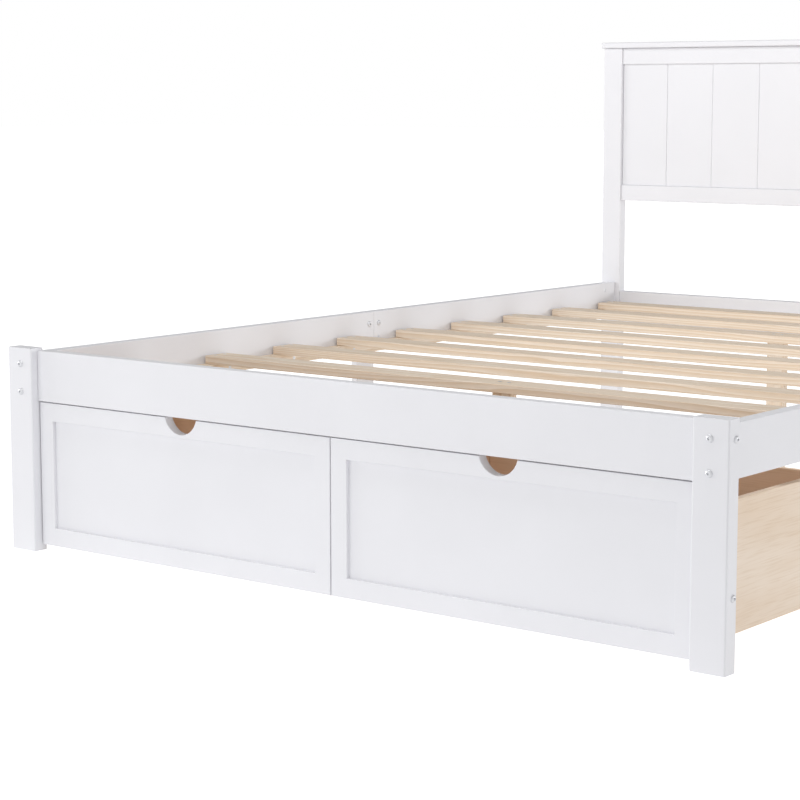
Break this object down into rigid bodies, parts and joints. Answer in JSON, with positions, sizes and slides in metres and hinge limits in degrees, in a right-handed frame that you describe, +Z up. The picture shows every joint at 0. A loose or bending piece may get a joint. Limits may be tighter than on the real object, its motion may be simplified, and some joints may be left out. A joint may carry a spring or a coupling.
{
  "type": "bed frame",
  "caption": "White painted wooden bed frame with plank headboard, bare slats, centre legs and two roll-out drawers with half-round finger pulls in the foot end.",
  "frame": {"origin": "middle of the bed on the floor: centre of the bounding box footprint, at the feet", "axes": "+X across the bed, +Y from the foot end with the drawers to the headboard, +Z up"},
  "size_m": [1.49, 1.9944, 0.944],
  "materials": {
    "white_paint": "satin white paint on wood",
    "pine": "bare planed softwood",
    "plywood": "bare thin plywood",
    "steel": "zinc-plated button heads",
    "nylon": "black moulded wheels"
  },
  "bodies": {
    "frame": {"centre_leg_foot": "pine", "centre_leg_head": "pine", "foot_post_bolt_left_1": "steel", "foot_post_bolt_left_2": "steel", "foot_post_bolt_right_1": "steel", "foot_post_bolt_right_2": "steel", "foot_post_left": "white_paint", "foot_post_right": "white_paint", "foot_rail": "white_paint", "head_post_left": "white_paint", "head_post_right": "white_paint", "head_rail": "white_paint", "headboard_bottom_rail": "white_paint", "headboard_cap": "white_paint", "headboard_panel": "white_paint", "headboard_top_rail": "white_paint", "mid_leg_left": "white_paint", "mid_leg_right": "white_paint", "side_rail_left_foot": "white_paint", "side_rail_left_head": "white_paint", "side_rail_right_foot": "white_paint", "side_rail_right_head": "white_paint", "slat_01": "pine", "slat_02": "pine", "slat_03": "pine", "slat_04": "pine", "slat_05": "pine", "slat_06": "pine", "slat_07": "pine", "slat_08": "pine", "slat_09": "pine", "slat_10": "pine", "slat_cleat_left_foot": "pine", "slat_cleat_left_head": "pine", "slat_cleat_right_foot": "pine", "slat_cleat_right_head": "pine"},
    "drawer_left": {"drawer_left_back": "pine", "drawer_left_castor_rail_left": "pine", "drawer_left_castor_rail_right": "pine", "drawer_left_floor": "plywood", "drawer_left_front": "white_paint", "drawer_left_side_left": "pine", "drawer_left_side_right": "pine"},
    "drawer_left_wheel_left_front_body": {"drawer_left_wheel_left_front": "nylon"},
    "drawer_left_wheel_left_back_body": {"drawer_left_wheel_left_back": "nylon"},
    "drawer_left_wheel_right_front_body": {"drawer_left_wheel_right_front": "nylon"},
    "drawer_left_wheel_right_back_body": {"drawer_left_wheel_right_back": "nylon"},
    "drawer_right": {"drawer_right_back": "pine", "drawer_right_castor_rail_left": "pine", "drawer_right_castor_rail_right": "pine", "drawer_right_floor": "plywood", "drawer_right_front": "white_paint", "drawer_right_side_left": "pine", "drawer_right_side_right": "pine"},
    "drawer_right_wheel_left_front_body": {"drawer_right_wheel_left_front": "nylon"},
    "drawer_right_wheel_left_back_body": {"drawer_right_wheel_left_back": "nylon"},
    "drawer_right_wheel_right_front_body": {"drawer_right_wheel_right_front": "nylon"},
    "drawer_right_wheel_right_back_body": {"drawer_right_wheel_right_back": "nylon"}
  },
  "joints": [
    {"name": "drawer_left_slide", "type": "slide", "parent": "frame", "child": "drawer_left", "axis": [0, -1, 0], "range_m": [0, 0.36]},
    {"name": "drawer_left_wheel_left_front_spin", "type": "hinge", "parent": "drawer_left", "child": "drawer_left_wheel_left_front_body", "pos_m": [-0.5195, -0.8588, 0.02], "axis": [1, 0, 0], "continuous": true},
    {"name": "drawer_left_wheel_left_back_spin", "type": "hinge", "parent": "drawer_left", "child": "drawer_left_wheel_left_back_body", "pos_m": [-0.5195, -0.6088, 0.02], "axis": [1, 0, 0], "continuous": true},
    {"name": "drawer_left_wheel_right_front_spin", "type": "hinge", "parent": "drawer_left", "child": "drawer_left_wheel_right_front_body", "pos_m": [-0.1595, -0.8588, 0.02], "axis": [1, 0, 0], "continuous": true},
    {"name": "drawer_left_wheel_right_back_spin", "type": "hinge", "parent": "drawer_left", "child": "drawer_left_wheel_right_back_body", "pos_m": [-0.1595, -0.6088, 0.02], "axis": [1, 0, 0], "continuous": true},
    {"name": "drawer_right_slide", "type": "slide", "parent": "frame", "child": "drawer_right", "axis": [0, -1, 0], "range_m": [0, 0.36]},
    {"name": "drawer_right_wheel_left_front_spin", "type": "hinge", "parent": "drawer_right", "child": "drawer_right_wheel_left_front_body", "pos_m": [0.1595, -0.8588, 0.02], "axis": [1, 0, 0], "continuous": true},
    {"name": "drawer_right_wheel_left_back_spin", "type": "hinge", "parent": "drawer_right", "child": "drawer_right_wheel_left_back_body", "pos_m": [0.1595, -0.6088, 0.02], "axis": [1, 0, 0], "continuous": true},
    {"name": "drawer_right_wheel_right_front_spin", "type": "hinge", "parent": "drawer_right", "child": "drawer_right_wheel_right_front_body", "pos_m": [0.5195, -0.8588, 0.02], "axis": [1, 0, 0], "continuous": true},
    {"name": "drawer_right_wheel_right_back_spin", "type": "hinge", "parent": "drawer_right", "child": "drawer_right_wheel_right_back_body", "pos_m": [0.5195, -0.6088, 0.02], "axis": [1, 0, 0], "continuous": true}
  ],
  "couplings": [
    {"joint": "drawer_left_wheel_left_front_spin", "follows": "drawer_left_slide", "rad_per_m": 50},
    {"joint": "drawer_left_wheel_left_back_spin", "follows": "drawer_left_slide", "rad_per_m": 50},
    {"joint": "drawer_left_wheel_right_front_spin", "follows": "drawer_left_slide", "rad_per_m": 50},
    {"joint": "drawer_left_wheel_right_back_spin", "follows": "drawer_left_slide", "rad_per_m": 50},
    {"joint": "drawer_right_wheel_left_front_spin", "follows": "drawer_right_slide", "rad_per_m": 50},
    {"joint": "drawer_right_wheel_left_back_spin", "follows": "drawer_right_slide", "rad_per_m": 50},
    {"joint": "drawer_right_wheel_right_front_spin", "follows": "drawer_right_slide", "rad_per_m": 50},
    {"joint": "drawer_right_wheel_right_back_spin", "follows": "drawer_right_slide", "rad_per_m": 50}
  ]
}
